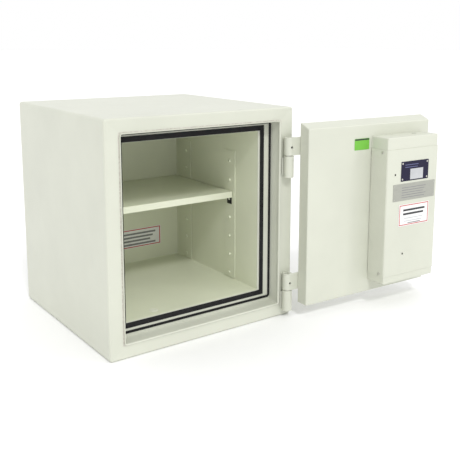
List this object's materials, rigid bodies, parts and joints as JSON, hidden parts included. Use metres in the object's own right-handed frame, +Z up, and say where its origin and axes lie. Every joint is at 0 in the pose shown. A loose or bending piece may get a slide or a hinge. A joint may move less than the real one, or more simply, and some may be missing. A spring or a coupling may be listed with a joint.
{
  "type": "fire-resistant document cabinet",
  "caption": "Cube-shaped insulated steel cabinet with a thick hinged door, a lock case with sliding bolts on the inside of the door, door seals and an adjustable shelf.",
  "frame": {"origin": "centre of the cabinet's underside, on the floor", "axes": "+Z up; +X to the right as one faces the open front, towards the hinges and the opened door; +Y towards the back, so the front face looks along -Y"},
  "size_m": [1.0412, 0.7197, 0.6],
  "materials": {
    "cream_paint": "satin powder coat, cream white",
    "liner_paint": "satin powder coat, cream white",
    "cap_plastic": "matt",
    "seal_rubber": "matt black",
    "insulation_fill": "cast lightweight mineral fill, rough",
    "bright_steel": "turned bright steel",
    "satin_chrome": "satin chrome",
    "black_steel": "black oxide",
    "zinc_plate": "bright zinc plate",
    "navy_plate": "anodised navy, blank",
    "aluminium_plate": "brushed, blank",
    "white_label": "blank printed label",
    "green_label": "blank adhesive label"
  },
  "bodies": {
    "cabinet": {"anchor_hole_cap": "cap_plastic", "anchor_sleeve": "bright_steel", "bolt_keeper": "bright_steel", "hinge_barrel_lower": "cream_paint", "hinge_barrel_upper": "cream_paint", "hinge_pin_lower": "bright_steel", "hinge_pin_upper": "bright_steel", "hinge_washer_lower": "zinc_plate", "hinge_washer_upper": "zinc_plate", "inner_liner": "liner_paint", "inner_seal": "seal_rubber", "notice_plate": "white_label", "outer_casing": "cream_paint", "outer_seal": "seal_rubber", "rear_panel": "cream_paint", "rebate_frame": "cream_paint", "shelf_clip_front_left": "black_steel", "shelf_clip_front_right": "black_steel", "shelf_clip_rear_left": "black_steel", "shelf_clip_rear_right": "black_steel", "shelf_strip_front_left": "liner_paint", "shelf_strip_front_right": "liner_paint", "shelf_strip_rear_left": "liner_paint", "shelf_strip_rear_right": "liner_paint", "wall_insulation": "insulation_fill"},
    "door": {"bolt_bar_guide_lower": "zinc_plate", "bolt_bar_guide_upper": "zinc_plate", "cover_screw_free_lower": "zinc_plate", "cover_screw_free_upper": "zinc_plate", "cover_screw_hinge_lower": "zinc_plate", "cover_screw_hinge_upper": "zinc_plate", "door_inner_pan": "cream_paint", "door_insulation": "insulation_fill", "door_outer_skin": "cream_paint", "handle_rose": "satin_chrome", "hard_plate": "black_steel", "hinge_grub_screw_lower": "black_steel", "hinge_grub_screw_upper": "black_steel", "hinge_leaf_lower": "cream_paint", "hinge_leaf_upper": "cream_paint", "key_escutcheon": "satin_chrome", "key_lock_case": "zinc_plate", "lock_case_base": "cream_paint", "lock_case_cover": "cream_paint", "maker_plate": "aluminium_plate", "rating_plate": "navy_plate", "service_label": "white_label", "test_label": "green_label"},
    "boltwork": {"bolt_bar": "zinc_plate", "bolt_lower": "bright_steel", "bolt_middle": "bright_steel", "bolt_upper": "bright_steel"},
    "handle": {"handle_lever": "satin_chrome", "handle_spindle": "bright_steel", "drive_crank": "zinc_plate"},
    "key_plug": {"key_barrel": "bright_steel"},
    "deadbolt": {"lock_bolt": "bright_steel"},
    "keyhole_cover": {"key_cover": "satin_chrome"},
    "shelf": {"shelf": "liner_paint"}
  },
  "joints": [
    {"name": "door_hinge", "type": "hinge", "parent": "cabinet", "child": "door", "pos_m": [0.2605, -0.295, 0.3], "axis": [0, 0, 1], "range_deg": [-177.3, 2.7]},
    {"name": "handle_turn", "type": "hinge", "parent": "door", "child": "handle", "pos_m": [0.6149, -0.32673, 0.262], "axis": [0.0471, 0.9989, 0], "range_deg": [0, 90]},
    {"name": "bolts_slide", "type": "slide", "parent": "door", "child": "boltwork", "axis": [0.9989, -0.0471, 0], "range_m": [0, 0.032]},
    {"name": "key_turn", "type": "hinge", "parent": "door", "child": "key_plug", "pos_m": [0.62489, -0.3272, 0.35], "axis": [0.0471, 0.9989, 0], "range_deg": [0, 180]},
    {"name": "deadbolt_slide", "type": "slide", "parent": "door", "child": "deadbolt", "axis": [0, 0, 1], "range_m": [0, 0.01]},
    {"name": "keyhole_cover_swing", "type": "hinge", "parent": "door", "child": "keyhole_cover", "pos_m": [0.62489, -0.3272, 0.374], "axis": [0.0471, 0.9989, 0], "range_deg": [-120, 120]},
    {"name": "shelf_lift", "type": "slide", "parent": "cabinet", "child": "shelf", "axis": [0, 0, 1], "range_m": [0, 0.025]}
  ],
  "couplings": [
    {"joint": "bolts_slide", "follows": "handle_turn", "m_per_rad": 0.020372},
    {"joint": "key_turn", "follows": "deadbolt_slide", "rad_per_m": 314.16}
  ]
}
